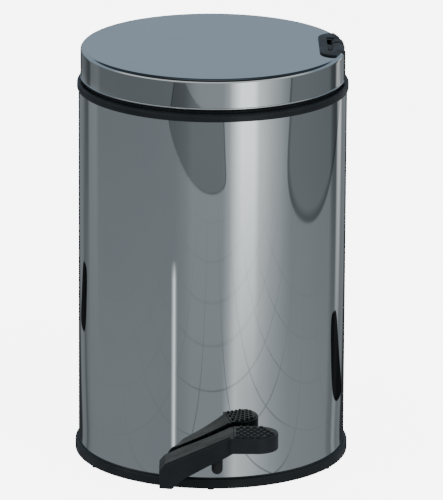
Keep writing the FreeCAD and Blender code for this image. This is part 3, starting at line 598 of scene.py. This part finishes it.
def floor_seen_by_body(tree):
    spot = tree.nodes.new("ShaderNodeTexCoord").outputs["Object"]
    x, y, _ = apart(tree, spot)
    distance = vector_node(tree, "LENGTH", spot)
    place = place_on_body(tree, x, y, distance)
    spread = between(tree, distance, NEAR, FAR)
    near, far = ([(stop[0], stop[column]) for stop in FLOOR_STOPS] for column in (1, 2))
    ground = mixed(tree, spread, grey_ramp(tree, place, near, COOL), grey_ramp(tree, place, far, COOL))
    joints = product(tree, joints_of_tiles(tree, x, y), grey_ramp(tree, place, JOINTS_CLEAR),
                     without(tree, product(tree, spread, JOINTS_FADE)))
    dusk = product(tree, between(tree, distance, *DUSK), grey_ramp(tree, place, DUSK_STOPS))
    shades = [shade_of(tree, x, y, *shade) for shade in SHADES]
    light = product(tree, without(tree, joints), without(tree, dusk), *shades)
    streak = product(tree, grey_ramp(tree, place, STREAK_STOPS),
                     without(tree, between(tree, distance, *STREAK_FADE)))
    return vector_node(tree, "ADD", vector_node(tree, "SCALE", ground, light), streak)


# ---------------------------------------------------------------- the room that the steel mirrors

# By height: 0 straight down, 0.5 level, 1 straight up; the back of the room is bluish
FRONT_STOPS = [(0.0, 0.30), (0.50, 0.34), (0.54, 0.80), (0.66, 0.85), (0.70, 0.035), (0.86, 0.03),
               (1.0, 0.14)]
BACK_STOPS = [(0.0, 0.30), (0.50, 0.30), (0.585, 0.40), (0.62, 0.38), (0.66, 0.36), (0.69, 0.05),
              (0.86, 0.04), (0.92, 0.11), (1.0, 0.16)]
BACK_TINT = (0.84, 1.0, 1.18)
SIDE_BLUR = 4    # how steeply the front of the room turns into its back


def room_above(tree):
    spot = tree.nodes.new("ShaderNodeTexCoord").outputs["Object"]
    _, y, z = apart(tree, vector_node(tree, "NORMALIZE", spot))
    rise = math_node(tree, "DIVIDE", math_node(tree, "ARCSINE", z), math.pi)
    height = math_node(tree, "ADD", rise, 0.5)
    back = math_node(tree, "ADD", product(tree, y, SIDE_BLUR), 0.5, clamp=True)
    front_light = grey_ramp(tree, height, FRONT_STOPS, COOL)
    back_light = vector_node(tree, "MULTIPLY", grey_ramp(tree, height, BACK_STOPS, COOL), BACK_TINT)
    return mixed(tree, back, front_light, back_light)


# ---------------------------------------------------------------- stage, light and camera

FLOOR_R = 12
ROOM_R = 9
ROOM_LIFT = 0.4 * MM    # keeps the mirrored floor off the visible one
FLOOR_GLOW = 6.0
FLOOR_PALE = (0.86, 0.86, 0.86, 1)
SKY = (0.93, 0.97, 1, 1)
SKY_LIGHT = 0.9
# Soft lights: name, place, size and power
LAMPS = [("key", (1.6, -2.2, 3.0), 1.6, 50), ("fill", (-2.4, -1.6, 2.2), 2.0, 25)]
LAMPS_AIM = Vector((0, 0, 0.2))
CAMERA_PLACE = (0, -5.7085, 1.8909)
CAMERA_DOWN = 0.2887    # radians below level
CAMERA_ROLL = 0.0052
CAMERA_LENS = 454.07
CAMERA_SHIFT = 0.019


def only_in_reflections(card):
    card.visible_camera = False
    card.visible_diffuse = False
    card.visible_shadow = False
    card.visible_transmission = False


def flat_disc(name, radius, z):
    shape = bmesh.new()
    bmesh.ops.create_circle(shape, cap_ends=True, segments=128, radius=radius)
    disc = plain_object(name, shape)
    disc.location.z = z
    return disc


def make_floor():
    """A pale floor that glows a little, so that it stays white; the bin still shades it."""
    floor = flat_disc("floor", FLOOR_R, 0)
    material = bpy.data.materials.new("pale_floor")
    material.use_nodes = True
    shader = material.node_tree.nodes["Principled BSDF"]
    shader.inputs["Base Color"].default_value = FLOOR_PALE
    shader.inputs["Roughness"].default_value = 0.9
    shader.inputs["Emission Color"].default_value = (1, 1, 1, 1)
    shader.inputs["Emission Strength"].default_value = FLOOR_GLOW
    floor.data.materials.append(material)
    floor.visible_glossy = False
    floor.visible_diffuse = False


def make_reflected_room():
    """A floor and a dome that only show in the steel."""
    ground = flat_disc("reflected_floor", ROOM_R, ROOM_LIFT)
    ground.data.materials.append(emitter("reflected_floor", floor_seen_by_body, FLOOR_LIGHT))
    only_in_reflections(ground)
    shape = bmesh.new()
    bmesh.ops.create_uvsphere(shape, u_segments=64, v_segments=32, radius=ROOM_R)
    dome = plain_object("reflected_room", shape)
    dome.data.materials.append(emitter("reflected_room", room_above))
    only_in_reflections(dome)


def make_lights():
    world = bpy.data.worlds.new("studio")
    world.use_nodes = True
    sky = world.node_tree.nodes["Background"]
    sky.inputs["Color"].default_value = SKY
    sky.inputs["Strength"].default_value = SKY_LIGHT
    bpy.context.scene.world = world
    for name, place, size, power in LAMPS:
        light = bpy.data.lights.new(name, "AREA")
        light.size = size
        light.energy = power
        lamp = new_object(name, light)
        lamp.location = place
        lamp.rotation_euler = (LAMPS_AIM - Vector(place)).to_track_quat("-Z", "Y").to_euler()
        lamp.visible_glossy = False


def make_camera():
    """The photograph's view: from far in front and a little above, with a long lens."""
    lens = bpy.data.cameras.new("camera")
    lens.sensor_width = 36
    lens.lens = CAMERA_LENS
    lens.shift_x = CAMERA_SHIFT
    lens.clip_start = 0.5
    lens.clip_end = 60
    camera = new_object("camera", lens)
    camera.matrix_world = (Matrix.Translation(CAMERA_PLACE)
                           @ Matrix.Rotation(math.pi / 2 - CAMERA_DOWN, 4, "X")
                           @ Matrix.Rotation(CAMERA_ROLL, 4, "Z"))
    bpy.context.scene.camera = camera


dress_cad_nodes()
make_body()
make_lid()
make_rim()
make_base()
soften_nodes()
make_floor()
make_reflected_room()
make_lights()
make_camera()
